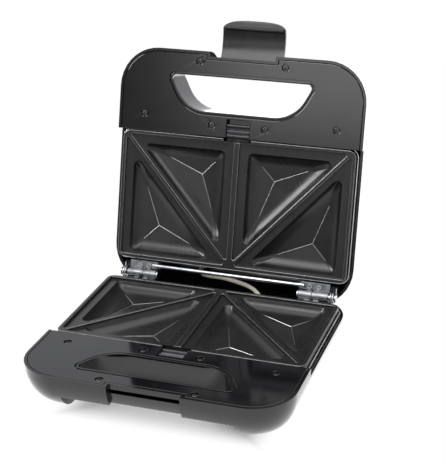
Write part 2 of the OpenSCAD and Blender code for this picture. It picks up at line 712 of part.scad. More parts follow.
// Lid springs: two and a bit curls with one leg on each half
spring_turns = 2 + (90 - tilt) / 360;
spring_points = concat(
    [[spring_x0, hinge_y - spring_leg, hinge_z - spring_r],
     [spring_x0, hinge_y - spring_wire * 1.2, hinge_z - spring_r]],
    [for (i = [0:round(spring_turns * 8)]) let (f = i / round(spring_turns * 8), a = -90 + 360 * spring_turns * f)
        [spring_x0 + (spring_x1 - spring_x0) * f, hinge_y + spring_r * cos(a), hinge_z + spring_r * sin(a)]],
    [for (d = [spring_wire * 1.2, spring_leg]) [spring_x1,
        hinge_y + spring_r * cos(tilt) + d * sin(tilt), hinge_z - spring_r * sin(tilt) + d * cos(tilt)]]);
spring_gap = (spring_x1 - spring_x0) / spring_turns - spring_wire;
echo(spring_gap = spring_gap);
module hinge_spring_right() {
    color([0.8, 0.81, 0.83]) closed_frame() tube(spring_points, spring_wire / 2, 6);
}
module hinge_spring_left() {
    color([0.8, 0.81, 0.83]) closed_frame() mirror([1, 0, 0]) tube(spring_points, spring_wire / 2, 6);
}
rod_y = hinge_y - 8;
rod_z = hinge_z + knuckle_r - leaf_t - rod_dia / 2;
module hinge_rod() {
    color([0.85, 0.86, 0.88]) lid_frame() translate([0, rod_y, rod_z]) rotate([0, 90, 0]) {
        translate([0, 0, -leaf_x + 1]) cylinder(h = 2 * leaf_x - 2, d = rod_dia - 0.6);
        for (s = [0, 1]) mirror([0, 0, s]) translate([0, 0, leaf_x - 1.2]) cylinder(h = 5.4, d = rod_dia);
    }
}

// Latch: a curved plate with a hook ridge and a rounded tab
function latch_y(z) = z > face ? front_at(lid_h, z - face) + 0.3 : 0.3;
latch_top = latch_pin_z - 0.5;
latch_outer = concat(
    [for (i = [0:6]) let (z = latch_top * (1 - i / 6)) [latch_y(z), z]],
    [[0.3, -6.5], [-0.4, -8.6], [-1.5, -10.8], [-2.2, -tab_d]]);
latch_inner = concat(
    [[-0.4, -tab_d], [0.5, -11], [1.8, -9.6], [0.3 + latch_t, -lip_h - slot_h + 0.3]],
    [[notch_d + 2, -lip_h - 2], [notch_d + 2, -lip_h - 0.7], [notch_d - 0.3, -lip_h - 0.7]],
    [[0.3 + latch_t, -lip_h + 0.9]],
    [for (i = [6:-1:0]) let (z = latch_top * (1 - i / 6)) [latch_y(z) + latch_t + 0.6 * (1 - i / 6), z]]);
// Front outline of the latch: straight sides that run into a flat, well rounded tab
tab_root = 3;
tab_outline = concat([[latch_half, 40], [-latch_half, 40]], [for (a = [180:9:360]) [
    latch_half * sign(cos(a)) * pow(abs(cos(a)), 2 / 3), -tab_root - (tab_d - tab_root) * pow(abs(sin(a)), 2 / 3)]]);
module latch_shut() {
    knuckle = latch_pin_dia / 2 + 1.7;
    difference() {
        intersection() {
            union() {
                along_x(-latch_half, latch_half) polygon(concat(latch_outer, latch_inner));
                along_x(-latch_half, latch_half) translate([latch_pin_y, latch_pin_z]) circle(r = knuckle);
            }
            translate([0, 30, 0]) rotate([90, 0, 0]) linear_extrude(40) polygon(tab_outline);
        }
        along_x(-latch_half - 1, latch_half + 1) translate([latch_pin_y, latch_pin_z])
            circle(d = latch_pin_dia + 0.1);
        both_sides() slab(latch_half - 1.9, latch_half + 1, notch_d - 1, notch_d + 6, -lip_h - slot_h, -lip_h);
    }
}
module latch() {
    color([0.2, 0.2, 0.21]) lid_frame() translate([0, latch_pin_y, latch_pin_z]) rotate([-latch_swing, 0, 0])
        translate([0, -latch_pin_y, -latch_pin_z]) latch_shut();
}
module latch_pin() {
    color([0.8, 0.81, 0.83]) lid_frame() translate([-notch_half - wall + 0.3, latch_pin_y, latch_pin_z])
        rotate([0, 90, 0]) cylinder(h = 2 * (notch_half + wall - 0.3), d = latch_pin_dia);
}

// Two lamp lenses in the top of the lid
module red_lamp() {
    color([0.8, 0.1, 0.08]) upper_half() translate([-lamp_x, lamp_y, 0]) lens_shape();
}
module green_lamp() {
    color([0.1, 0.6, 0.2]) upper_half() translate([lamp_x, lamp_y, 0]) lens_shape();
}
module lens_shape() {
    translate([0, 0, -lid_h + wall]) cylinder(h = 4, d = lamp_dia + 2.4);
    translate([0, 0, -lid_h - 0.8]) cylinder(h = wall + 0.8 + eps, d = lamp_dia);
}

module cord_gland() {
    color([0.1, 0.1, 0.1]) closed_frame() translate([gland_x, gland_y, -gland_d - face]) rotate([-90, 0, 0])
        difference() {
            union() {
                translate([0, 0, -gland_neck - 2]) cylinder(h = gland_neck + 2, d = cord_bore + 4);
                cylinder(h = 2.4, d = cord_bore + 8);
                translate([0, 0, -gland_neck - 2]) cylinder(h = 1.9, d = cord_bore + 6.4);
                cylinder(h = 8, d1 = cord_bore + 6, d2 = cord_bore + 3);
            }
            translate([0, 0, -gland_neck - 3]) cylinder(h = gland_neck + 14, d = cord_bore);
        }
}
module feet() {
    color([0.08, 0.08, 0.08]) closed_frame() both_sides() for (y = [lean_front + 14, body_d - lean_rear - 14])
        translate([pad_x, y, -base_h]) cylinder(h = pad_t, d = pad_dia);
}

// Terminal block and the sleeved lead that carries current to the lid
block = [34, plate_y1 + 1, -base_floor + face];
module terminal_block() {
    color([0.9, 0.9, 0.88]) closed_frame() difference() {
        slab(block[0] - 9, block[0] + 9, block[1], block[1] + 9, block[2] - 0.5, block[2] + 9);
        for (s = [-4.5, 4.5]) translate([block[0] + s, block[1] + 4.5, block[2] + 4]) cylinder(h = 8, d = 3);
    }
}
lid_block = [-34, plate_y1 - 8.1, face + lid_h - wall];
module lid_terminal_block() {
    color([0.9, 0.9, 0.88]) lid_frame() difference() {
        slab(lid_block[0] - 9, lid_block[0] + 9, lid_block[1] - 9, lid_block[1], pan_d + face + 0.4, lid_block[2]);
        for (s = [-4.5, 4.5]) translate([lid_block[0] + s, lid_block[1] - 4.5, pan_d + face - 1]) cylinder(h = 5, d = 3);
    }
}
lead_base = [
    [34, block[1] + 4.5, block[2] + 9.3],
    [34, block[1] + 4.5, block[2] + 11],
    [34, block[1] + 5, block[2] + 15],
    [33, plate_y1 + 11, -12],
    [28, hinge_y + 2, -7],
    [20, hinge_y + 5, -3.5],
    [8, hinge_y + 7, -1.4],
    [-6, hinge_y + 8.5, 0.2]];
// The rest of the route as points of the closed lid
lead_lid = [
    [-18, hinge_y - 3.5, 8.5],
    [-28, hinge_y - 3, 15],
    [-33, hinge_y - 6, 23],
    [-34, plate_y1 + 1, pan_d + face + lead_dia / 2 + 0.6],
    [-34, plate_y1 - 5, pan_d + face + lead_dia / 2 + 0.6],
    [-34, lid_block[1] + 0.1, pan_d + face + lead_dia / 2 + 0.6]];
lead_knots = concat(lead_base, [for (p = lead_lid) let (q = opened(p[1], p[2])) [p[0], q[0], q[1]]]);
function spline(k, i, t) = let (
        a = k[max(i - 1, 0)], b = k[i], c = k[i + 1], d = k[min(i + 2, len(k) - 1)])
    0.5 * (2 * b + (c - a) * t + (2 * a - 5 * b + 4 * c - d) * t * t + (3 * b - a - 3 * c + d) * t * t * t);
lead_points = concat(
    [for (i = [0:len(lead_knots) - 2]) for (t = [0, 1 / 3, 2 / 3]) spline(lead_knots, i, t)],
    [lead_knots[len(lead_knots) - 1]]);
module link_lead() {
    color([0.85, 0.8, 0.7]) closed_frame() tube(lead_points, lead_dia / 2, 8);
}

// Middle of the whole stand from front to rear, with the lid and latch open
latch_tips = [for (p = latch_outer) let (q = latch_out(p[0], p[1])) opened(q[0], q[1])[0]];
lid_backs = [for (t = steps) opened(lean_front * lean(t), face + t * lid_h)[0]];
mid_y = max(concat(latch_tips, lid_backs)) / 2;

base_shell();
base_cover();
base_cover_screws();
lower_plate();
lower_pan();
lower_element();
lower_element_straps();
thermostat();
terminal_block();
cord_gland();
feet();
base_leaf_left();
base_leaf_right();
base_leaf_screws();
hinge_pins();
hinge_spring_left();
hinge_spring_right();
link_lead();
lower_catch();
lid_shell();
lid_cover();
lid_cover_screws();
upper_plate();
upper_pan();
upper_element();
upper_element_straps();
upper_catch();
lid_leaf_left();
lid_leaf_right();
lid_leaf_screws();
hinge_rod();
lid_terminal_block();
latch();
latch_pin();
red_lamp();
green_lamp();
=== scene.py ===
import json
from math import atan2, cos, pi, radians, sin, sqrt

import bmesh
import bpy
from mathutils import Matrix, Vector


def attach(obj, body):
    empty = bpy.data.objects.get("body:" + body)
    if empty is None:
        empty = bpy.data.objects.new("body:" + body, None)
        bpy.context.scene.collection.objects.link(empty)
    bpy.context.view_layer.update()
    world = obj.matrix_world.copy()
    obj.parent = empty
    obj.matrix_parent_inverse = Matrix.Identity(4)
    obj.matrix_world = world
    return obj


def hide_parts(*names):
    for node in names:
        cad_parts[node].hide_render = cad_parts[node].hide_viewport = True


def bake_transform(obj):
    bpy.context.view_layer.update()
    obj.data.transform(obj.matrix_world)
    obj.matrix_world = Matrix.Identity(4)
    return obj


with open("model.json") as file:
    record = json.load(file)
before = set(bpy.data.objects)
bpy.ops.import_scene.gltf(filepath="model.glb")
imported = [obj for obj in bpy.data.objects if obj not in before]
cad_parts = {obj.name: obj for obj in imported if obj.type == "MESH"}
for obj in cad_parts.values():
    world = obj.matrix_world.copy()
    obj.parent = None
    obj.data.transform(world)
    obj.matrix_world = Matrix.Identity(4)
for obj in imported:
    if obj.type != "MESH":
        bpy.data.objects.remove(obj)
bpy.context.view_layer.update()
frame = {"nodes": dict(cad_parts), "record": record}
scene = bpy.context.scene
scene.view_settings.view_transform = "Standard"

# ---------------------------------------------------------------- camera
# A long lens a little over a metre from the toaster, off its right front corner,
# looking down on it and turned a little about its own axis.
camera_place = (0.33767, -0.952935, 0.53745)
camera_roll = radians(0.62)
camera_back = Vector((0.29449, -0.87290, 0.38900)).normalized()
camera_level = Vector((0, 0, 1)).cross(camera_back).normalized()
camera_up = camera_back.cross(camera_level)
camera_x = camera_level * cos(camera_roll) - camera_up * sin(camera_roll)
camera_y = camera_level * sin(camera_roll) + camera_up * cos(camera_roll)
camera_data = bpy.data.cameras.new("camera")
camera_data.lens = 100.5
camera_data.sensor_width = 36
camera_data.clip_start = 0.05
camera_data.shift_x = 0.0009
camera_data.shift_y = 0.0026
camera = bpy.data.objects.new("camera", camera_data)
scene.collection.objects.link(camera)
camera_turn = Matrix((camera_x, camera_y, camera_back)).transposed()
camera.matrix_world = Matrix.Translation(camera_place) @ camera_turn.to_4x4()
scene.camera = camera


# ---------------------------------------------------------------- studio
# A table covered in white paper, in a white room. A broad softbox overhead and a
# weak one in front light the toaster; three strips show in its glossy sides only.
def softbox(name, place, aim, width, height, level, soft=True):
    """Rectangular lamp at place, turned to aim, that only glossy sides see unless soft."""
    lamp = bpy.data.lights.new(name, "AREA")
    lamp.shape = "RECTANGLE"
    lamp.size = width
    lamp.size_y = height
    lamp.energy = level * pi * width * height
    box = bpy.data.objects.new(name, lamp)
    scene.collection.objects.link(box)
    away = (Vector(place) - Vector(aim)).to_track_quat("Z", "Y")
    box.matrix_world = Matrix.Translation(place) @ away.to_matrix().to_4x4()
    box.visible_camera = False
    box.visible_diffuse = soft
    return box


softbox("overhead_softbox", (0.15, 0.05, 1.7), (0, 0, 0.1), 1.8, 1.8, 1.9)
softbox("left_strip", (-0.95, -0.44, 0.76), (0, 0, 0.18), 0.75, 0.44, 15.0, soft=False)
softbox("front_top_strip", (-0.25, -0.85, 1.25), (0, 0, 0.15), 0.6, 0.85, 6.5, soft=False)
softbox("right_strip", (0.55, -0.45, 1.05), (0, 0, 0.15), 0.45, 0.5, 4.2, soft=False)
front_softbox = softbox("front_softbox", (0.3, -2.2, 1.3), (0, 0, 0.15), 1.6, 1.2, 0.6)
front_softbox.visible_glossy = False


def wire(tree, kind, sources, operation=None):
    """First output of a new node whose sockets take outputs or plain values, in order."""
    made = tree.nodes.new("ShaderNode" + kind)
    if operation:
        made.operation = operation
    for socket, source in zip(made.inputs, sources):
        if isinstance(source, bpy.types.NodeSocket):
            tree.links.new(source, socket)
        else:
            socket.default_value = source
    return made.outputs[0] if made.outputs else made


def ramp(tree, source, low, high, start=0.0, end=1.0, smooth=True):
    """Value that goes from start to end while source goes from low to high."""
    made = tree.nodes.new("ShaderNodeMapRange")
    made.interpolation_type = "SMOOTHSTEP" if smooth else "LINEAR"
    for socket, value in (("From Min", low), ("From Max", high), ("To Min", start), ("To Max", end)):
        made.inputs[socket].default_value = value
    tree.links.new(source, made.inputs["Value"])
    return made.outputs["Result"]


# The room that glossy sides mirror: white behind, grey in front, and a low bright
# band to the left; the camera sees plain white, and matt sides get a soft fill
white = (1, 1, 1, 1)
rear_white = (0.92, 0.93, 0.95, 1)
front_grey, left_glow, soft_fill = 0.35, 2.9, 0.6
world = bpy.data.worlds.new("white_sweep")
scene.world = world
world.use_nodes = True
sky = world.node_tree
sky.nodes.clear()
sky_ray = sky.nodes.new("ShaderNodeLightPath").outputs
sky_way = sky.nodes.new("ShaderNodeSeparateXYZ")
sky.links.new(sky.nodes.new("ShaderNodeTexCoord").outputs["Generated"], sky_way.inputs["Vector"])
to_right, to_rear, upward = sky_way.outputs
left_wall = ramp(sky, to_right, -0.38, -0.26, start=0.0, end=left_glow)
over_table = ramp(sky, upward, 0.1, 0.2)
under_top = ramp(sky, upward, 0.22, 0.32, start=1.0, end=0.1)
low_band = wire(sky, "Math", (over_table, under_top), "MULTIPLY")
front_wall = wire(sky, "Math", (wire(sky, "Math", (left_wall, low_band), "MULTIPLY"), front_grey), "ADD")
rear_share = ramp(sky, to_rear, -0.3, 0.3, smooth=False)
mirrored_sky = wire(sky, "Background", (wire(sky, "MixRGB", (rear_share, front_wall, rear_white)), 1.0))
lit_sky = wire(sky, "Background", (white, soft_fill))
unseen_sky = wire(sky, "MixShader", (sky_ray["Is Glossy Ray"], lit_sky, mirrored_sky))
seen_sky = wire(sky, "Background", (white, 1.0))
wire(sky, "OutputWorld", (wire(sky, "MixShader", (sky_ray["Is Camera Ray"], unseen_sky, seen_sky)),))

# The paper takes the shadow close to the toaster and fades out past it. Glossy
# sides see it lit from behind, and dimmer in front
floor_reach, paper_tone = 2.2, (0.75, 0.75, 0.75, 1)
shadow_middle = (0.005, -0.045)
shadow_across, shadow_along = (0.055, 0.092), (0.0673469, 0.0979592)
sweep_bm = bmesh.new()
bmesh.ops.create_circle(sweep_bm, cap_ends=True, radius=floor_reach, segments=96)
sweep_mesh = bpy.data.meshes.new("floor")
sweep_bm.to_mesh(sweep_mesh)
sweep_bm.free()
floor = bpy.data.objects.new("floor", sweep_mesh)
scene.collection.objects.link(floor)
paper = bpy.data.materials.new("white_paper")
paper.use_nodes = True
paper_tree = paper.node_tree
paper_tree.nodes.clear()
paper_ray = paper_tree.nodes.new("ShaderNodeLightPath").outputs
paper_spot = paper_tree.nodes.new("ShaderNodeSeparateXYZ")
paper_tree.links.new(paper_tree.nodes.new("ShaderNodeTexCoord").outputs["Object"], paper_spot.inputs["Vector"])
fades = []
for place, middle, (near, far) in zip(paper_spot.outputs, shadow_middle, (shadow_across, shadow_along)):
    aside = wire(paper_tree, "Math", (place, middle), "SUBTRACT")
    fades.append(ramp(paper_tree, wire(paper_tree, "Math", (aside,), "ABSOLUTE"), near, far))
past_shadow = wire(paper_tree, "Math", fades, "MAXIMUM")
front_light = ramp(paper_tree, paper_spot.outputs["Y"], -1.0, -0.3, start=0.3, end=1.6, smooth=False)
rear_light = ramp(paper_tree, paper_spot.outputs["Y"], 0.15, 0.4, start=0.0, end=1.2, smooth=False)
paper_white = wire(paper_tree, "BsdfDiffuse", (paper_tone,))
paper_glow = wire(paper_tree, "Emission", (white, wire(paper_tree, "Math", (front_light, rear_light), "ADD")))
paper_clear = wire(paper_tree, "BsdfTransparent", (white,))
mirrored = wire(paper_tree, "Math", (paper_ray["Is Glossy Ray"], past_shadow), "MULTIPLY")
cleared = wire(paper_tree, "Math", (past_shadow, paper_ray["Is Camera Ray"]), "MULTIPLY")
paper_lit = wire(paper_tree, "MixShader", (mirrored, paper_white, paper_glow))
wire(paper_tree, "OutputMaterial", (wire(paper_tree, "MixShader", (cleared, paper_lit, paper_clear)),))
floor.data.materials.append(paper)


# ---------------------------------------------------------------- base housing
# The lower housing is one hollow moulding in glossy black plastic, with the
# finger room under its handle, a notch for the latch and a well for the plate.
cloud_low, cloud_high = 0.3, 0.7
grain_height = 0.0002


def finish(name, dark, light, cloud, rough, metal=0.0, grain=900.0, relief=0.1, shine=0.5):
    """Surface that drifts between two shades and two roughnesses, under a fine grain."""
    made = bpy.data.materials.new(name)
    made.use_nodes = True
    tree = made.node_tree
    shader = tree.nodes["Principled BSDF"]
    shader.inputs["Metallic"].default_value = metal
    shader.inputs["Specular IOR Level"].default_value = shine
    where = tree.nodes.new("ShaderNodeTexCoord")
    clouds = tree.nodes.new("ShaderNodeTexNoise")
    clouds.inputs["Scale"].default_value = cloud
    clouds.inputs["Detail"].default_value = 4
    tint = tree.nodes.new("ShaderNodeValToRGB")
    for stop, place, colour in zip(tint.color_ramp.elements, (cloud_low, cloud_high), (dark, light)):
        stop.position = place
        stop.color = (*colour, 1)
    fine = tree.nodes.new("ShaderNodeTexNoise")
    fine.inputs["Scale"].default_value = grain
    fine.inputs["Detail"].default_value = 2
    bump = tree.nodes.new("ShaderNodeBump")
    bump.inputs["Strength"].default_value = relief
    bump.inputs["Distance"].default_value = grain_height
    tree.links.new(where.outputs["Object"], clouds.inputs["Vector"])
    tree.links.new(where.outputs["Object"], fine.inputs["Vector"])
    tree.links.new(clouds.outputs["Fac"], tint.inputs["Fac"])
    tree.links.new(tint.outputs["Color"], shader.inputs["Base Color"])
    dullness = ramp(tree, clouds.outputs["Fac"], cloud_low, cloud_high, *rough, smooth=False)
    tree.links.new(dullness, shader.inputs["Roughness"])
    tree.links.new(fine.outputs["Fac"], bump.inputs["Height"])
    tree.links.new(bump.outputs["Normal"], shader.inputs["Normal"])
    return made


def put_in(bm, name, skins, node, body, edge=0.0, sharp=32):
    """Turns a bmesh into the piece that stands for a node, with its edges eased."""
    mesh = bpy.data.meshes.new(name)
    for face in bm.faces:
        face.smooth = True
    for side in bm.edges:
        between_two = len(side.link_faces) == 2
        side.smooth = side.smooth and (not between_two or side.calc_face_angle(0) < radians(sharp))
    bm.to_mesh(mesh)
    bm.free()
    for skin in skins:
        mesh.materials.append(skin)
    piece = bpy.data.objects.new(name, mesh)
    scene.collection.objects.link(piece)
    if edge:
        soft = piece.modifiers.new("soft_edges", "BEVEL")
        soft.width = edge
        soft.segments = 2
        soft.limit_method = "ANGLE"
        soft.angle_limit = radians(sharp)
    even = piece.modifiers.new("even_faces", "WEIGHTED_NORMAL")
    even.keep_sharp = not edge
    even.weight = 70
    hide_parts(node)
    if body:
        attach(piece, body)
    return piece


def moulded(name, node, body, skin, edge=0.0003, sharp=32):
    """Merged copy of a node's mesh, dressed as the finished moulding or pressing."""
    bm = bmesh.new()
    bm.from_mesh(frame["nodes"][node].data)
    bmesh.ops.remove_doubles(bm, verts=bm.verts, dist=1e-6)
    for face in bm.faces:
        face.material_index = 0
    return put_in(bm, name, [skin], node, body, edge, sharp)


housing_black = finish("housing_black", (0.005, 0.005, 0.006), (0.008, 0.008, 0.0095), 30,
                       (0.1, 0.15), grain=1400, relief=0.03)
moulded("lower_housing", "base_shell", "base", housing_black, edge=0.0005)

# ---------------------------------------------------------------- heating parts of the base
# Under the plate: a pressed steel pan, a bent sheathed element on two pairs of
# straps, the thermostat can, and the ceramic terminal block.
pressed_steel = finish("pressed_steel", (0.5, 0.5, 0.51), (0.62, 0.62, 0.63), 60, (0.25, 0.35), metal=1.0)
moulded("lower_steel_pan", "lower_pan", "base", pressed_steel, edge=0.0002)
sheath = finish("element_sheath", (0.12, 0.1, 0.09), (0.22, 0.19, 0.17), 90, (0.45, 0.6), metal=0.8)
moulded("lower_heating_element", "lower_element", "base", sheath, edge=0.0002)
moulded("lower_straps", "lower_element_straps", "base", pressed_steel, edge=0.0001)
ceramic = finish("glazed_ceramic", (0.7, 0.68, 0.62), (0.78, 0.76, 0.7), 80, (0.3, 0.45))
moulded("lower_terminal_block", "terminal_block", "base", ceramic)
brass_can = finish("thermostat_can", (0.5, 0.48, 0.44), (0.62, 0.6, 0.56), 90, (0.3, 0.4), metal=1.0)
moulded("thermostat_can", "thermostat", "base", brass_can)

# ---------------------------------------------------------------- cord bushing and feet
# Moulded black rubber: a bushing that lines the cord's hole in the rear wall, and
# four round pads pressed into the underside.
black_rubber = finish("black_rubber", (0.012, 0.012, 0.012), (0.02, 0.02, 0.02), 60, (0.6, 0.75))
moulded("cord_bushing", "cord_gland", "base", black_rubber)
moulded("rubber_feet", "feet", "base", black_rubber, edge=0.0008)

# ---------------------------------------------------------------- lower cooking plate
# A cast aluminium plate with a black non-stick coat: raised rim and ribs, four
# pockets with curved walls, and thin cutting ridges that meet at their lowest points.
# Sizes here are in millimetres, from the front of the shut toaster, with 0 at the
# plates' faces. Loops that are bridged never share a height, or they pair wrongly.
loop_step = 0.02
plate_half, plate_front, plate_back, plate_corner = 108.7, 75.6, 193.6, 7.0
catch_gap_half, catch_gap_back, catch_gap_corner = 12.6, 78.5, 0.8
sheet_thickness, skirt_depth, skirt_wall = 1.35, 7.5, 1.3
rib_height, rib_corner = 2.6, 1.3
# A pocket's corners lose this share of their radius down its wall, and its floor
# runs on to a small triangle round the lowest point
pocket_depth, pocket_corner, corner_loss, tip_corner, tip_inset = 9.6, 4.5, 0.7, 0.35, 24.0
# Each ridge runs this share of the way from the lowest point to a corner
ridge_reach, ridge_end_depth, ridge_lift = 0.68, 7.75, 0.08
ridge_radius_low, ridge_radius_high = 0.5, 0.3
# Sections as (outward, upward) steps: the plate's top edge, the ribs' feet, and the
# pockets' walls as (inset, drop)
edge_round = [(0, -0.8), (-0.12, -0.38), (-0.38, -0.12), (-0.8, 0)]
rib_foot = [(0, -2.1), (-0.15, -2.45), (-0.5, -rib_height)]
pocket_wall = [(0, 0), (0.25, 0.35), (0.6, 1.1), (1.2, 2.4), (2.1, 3.7),
               (3.3, 4.85), (5.2, 6.05), (7.8, 7.1), (11, 7.8)]
# Arcs as (x, y, radius, start, sweep), counter-clockwise round the rim
rim_arcs = [
    (-plate_half + plate_corner, plate_front + plate_corner, plate_corner, pi, pi / 2),
    (-catch_gap_half - catch_gap_corner, plate_front + catch_gap_corner, catch_gap_corner, -pi / 2, pi / 2),
    (-catch_gap_half + catch_gap_corner, catch_gap_back - catch_gap_corner, catch_gap_corner, pi, -pi / 2),
    (catch_gap_half - catch_gap_corner, catch_gap_back - catch_gap_corner, catch_gap_corner, pi / 2, -pi / 2),
    (catch_gap_half + catch_gap_corner, plate_front + catch_gap_corner, catch_gap_corner, pi, pi / 2),
    (plate_half - plate_corner, plate_front + plate_corner, plate_corner, -pi / 2, pi / 2),
    (plate_half - plate_corner, plate_back - plate_corner, plate_corner, 0, pi / 2),
    (-plate_half + plate_corner, plate_back - plate_corner, plate_corner, pi / 2, pi / 2)]
# Each compartment: outline between the ribs, outline of its pocket, lowest point
inner_field = ([(2.8, 79.1), (101.8, 79.1), (2.8, 186.6)],
               [(10.8, 87.0), (93.0, 87.0), (10.8, 176.5)], (34.2, 111.4))
outer_field = ([(105.2, 190.1), (4.3, 190.1), (105.2, 80.6)],
               [(98.0, 188.0), (15.5, 188.0), (98.0, 96.0)], (73.2, 163.2))


def ring(bm, corners, grow, height, steps=8):
    """Closed loop of edges round arcs (x, y, radius, start, sweep), pushed out by grow."""
    known = set(bm.edges)
    ends = []
    for x, y, radius, start, sweep in corners:
        reach = radius + (grow if sweep > 0 else -grow)
        first = bm.verts.new((x + reach * cos(start), y + reach * sin(start), height))
        turned = bmesh.ops.spin(bm, geom=[first], cent=(x, y, height), axis=(0, 0, 1),
                                angle=sweep, steps=steps)
        ends.append((first, turned["geom_last"][0]))
    for (_, last), (first, _) in zip(ends, ends[1:] + ends[:1]):
        bm.edges.new((last, first))
    return [e for e in bm.edges if e not in known]


def skin_over(bm, rings, coats=None):
    """Walls between neighbouring loops, each with its material index."""
    for i, (low, high) in enumerate(zip(rings, rings[1:])):
        for face in bmesh.ops.bridge_loops(bm, edges=low + high)["faces"]:
            face.material_index = coats[i] if coats else 0


def triangle(points, radius, inset=0.0, middle=None):
    """Arcs for ring() round a triangle whose sides are moved in by inset."""
    a, b, c = (Vector(p) for p in points)
    far_a, far_b, far_c = (b - c).length, (c - a).length, (a - b).length
    round_it = far_a + far_b + far_c
    centre = (a * far_a + b * far_b + c * far_c) / round_it
    half = round_it / 2
    reach = sqrt((half - far_a) * (half - far_b) * (half - far_c) / half)
    share = (inset + radius) / reach
    towards = centre if middle is None else centre.lerp(Vector(middle), share ** 2)
    arcs = []
    for before, here, after in ((c, a, b), (a, b, c), (b, c, a)):
        start = atan2(before.x - here.x, here.y - before.y)
        stop = atan2(here.x - after.x, after.y - here.y)
        spot = towards + (here - centre) * (1 - share)
        arcs.append((spot.x, spot.y, radius, start, (stop - start) % (2 * pi)))
    return arcs


def cutting_ridge(bm, lowest, end):
    """Thin bar that runs up a fold of a pocket's floor."""
    along = end - lowest
    turn = along.to_track_quat("Z", "Y").to_matrix().to_4x4()
    bar = bmesh.ops.create_cone(bm, cap_ends=True, segments=10, radius1=ridge_radius_low,
                                radius2=ridge_radius_high, depth=along.length,
                                matrix=Matrix.Translation((lowest + end) / 2) @ turn)
    # The ridge takes material 2, a lighter and more metallic coat that makes it show as a bright line
    for face in {f for v in bar["verts"] for f in v.link_faces}:
        face.material_index = 2


def cooking_plate(name, node, body, place):
    """Face and underside of a plate, joined by its skirt."""
    bm = bmesh.new()
    skirt = [ring(bm, rim_arcs, grow, height)
             for grow, height in [(-skirt_wall, -sheet_thickness), (-skirt_wall, loop_step - skirt_depth),
                                  (0, -skirt_depth)] + edge_round]
    # The top of the rim's rounded edge takes material 1, the lighter coat of painted edge highlight
    skin_over(bm, skirt, (0, 0, 0, 0, 1, 1))
    for sheet, rim in ((0, skirt[-1]), (-sheet_thickness, skirt[0])):
        tops = list(rim)
        for side in (1, -1):
            for outline, pocket, low in (inner_field, outer_field):
                if side < 0:
                    outline, pocket = ([(-x, y) for x, y in reversed(points)] for points in (outline, pocket))
                    low = (-low[0], low[1])
                rib_section = [(-grow, height) for grow, height in reversed(edge_round)] + rib_foot
                walls = [ring(bm, triangle(outline, rib_corner + grow, -grow), 0, height + sheet)
                         for grow, height in rib_section]
                tops += walls[0]
                floor_depth = sheet - rib_height - loop_step
                for inset, drop in pocket_wall:
                    corner = pocket_corner * (1 - corner_loss * inset / pocket_wall[-1][0])
                    walls.append(ring(bm, triangle(pocket, corner, inset, low), 0, floor_depth - drop))
                walls.append(ring(bm, triangle(pocket, tip_corner, tip_inset, low), 0,
                                  floor_depth - pocket_depth))
                # The rounded top edges of the ribs take material 1, the lighter coat of painted edge highlight
                skin_over(bm, walls, [1, 1, 1] + [0] * (len(walls) - 4))
                bmesh.ops.edgeloop_fill(bm, edges=walls[-1])
                if sheet:
                    continue
                for tip in pocket:
                    far = Vector(low).lerp(Vector(tip), ridge_reach)
                    cutting_ridge(bm, Vector((*low, floor_depth - pocket_depth + ridge_lift)),
                                  Vector((*far, floor_depth - ridge_end_depth)))
        bmesh.ops.triangle_fill(bm, use_beauty=True, edges=tops, normal=(0, 0, 1))
        for side in tops:
            side.smooth = False
    bmesh.ops.transform(bm, matrix=place, verts=bm.verts)
    bmesh.ops.recalc_face_normals(bm, faces=bm.faces)
    return put_in(bm, name, [coated, painted_edge_highlight, lighter_ridge_coat], node, body)


# The hinge axis in those millimetres, how far the lid is open, and each plate's
# distance from the split between the halves
hinge_back, hinge_drop, half_gap = 207.0, 1.5, 0.3
open_turn = radians(104)
hinge_spot = Vector(frame["record"]["behaviour"]["joints"][0]["pos_m"])
half_spot = (Matrix.Translation((0, hinge_spot.y - hinge_back / 1000, hinge_spot.z + hinge_drop / 1000))
             @ Matrix.Scale(0.001, 4))
to_hinge = Matrix.Translation((0, hinge_back, -hinge_drop))
lower_place = half_spot @ Matrix.Translation((0, 0, -half_gap))
upper_place = (half_spot @ to_hinge @ Matrix.Rotation(-open_turn, 4, "X") @ to_hinge.inverted()
               @ Matrix.Translation((0, 0, half_gap)) @ Matrix.Scale(-1, 4, (0, 0, 1)))
coated = finish("coated_aluminium", (0.0095, 0.0087, 0.01), (0.0135, 0.0125, 0.014), 60,
                (0.26, 0.32), grain=1500, relief=0.1, shine=0.4)
# Coat for the rounded top edges of the rim and ribs, lighter and more metallic than the rest: a painted
# highlight that draws thin light lines along them
painted_edge_highlight = finish("coat_with_painted_edge_highlight", (0.07, 0.069, 0.071), (0.13, 0.128, 0.132), 300,
                   (0.3, 0.4), metal=0.8, grain=1500, relief=0.1)
# Coat for the cutting ridges, lighter and more metallic than the rest, so that they show as bright lines
lighter_ridge_coat = finish("coat_on_ridges", (0.2, 0.198, 0.202), (0.3, 0.297, 0.303), 300,
                     (0.28, 0.38), metal=0.9, grain=1500, relief=0.1)
cooking_plate("lower_cooking_plate", "lower_plate", "base", lower_place)

# ---------------------------------------------------------------- lower handle cover
# A flat glossy moulding that closes the handle from above. A bead and a groove
# run round its carrying opening, and six screws sit sunk in round wells.
cover_half, cover_front, cover_back, cover_corner = 111.0, 3.0, 75.2, 33.0
notch_side, notch_back, window_side, window_front, small_corner = 33.3, 7.5, 10.95, 58.65, 0.9
cover_thickness, curve_steps, well_steps = 2.6, 14, 6
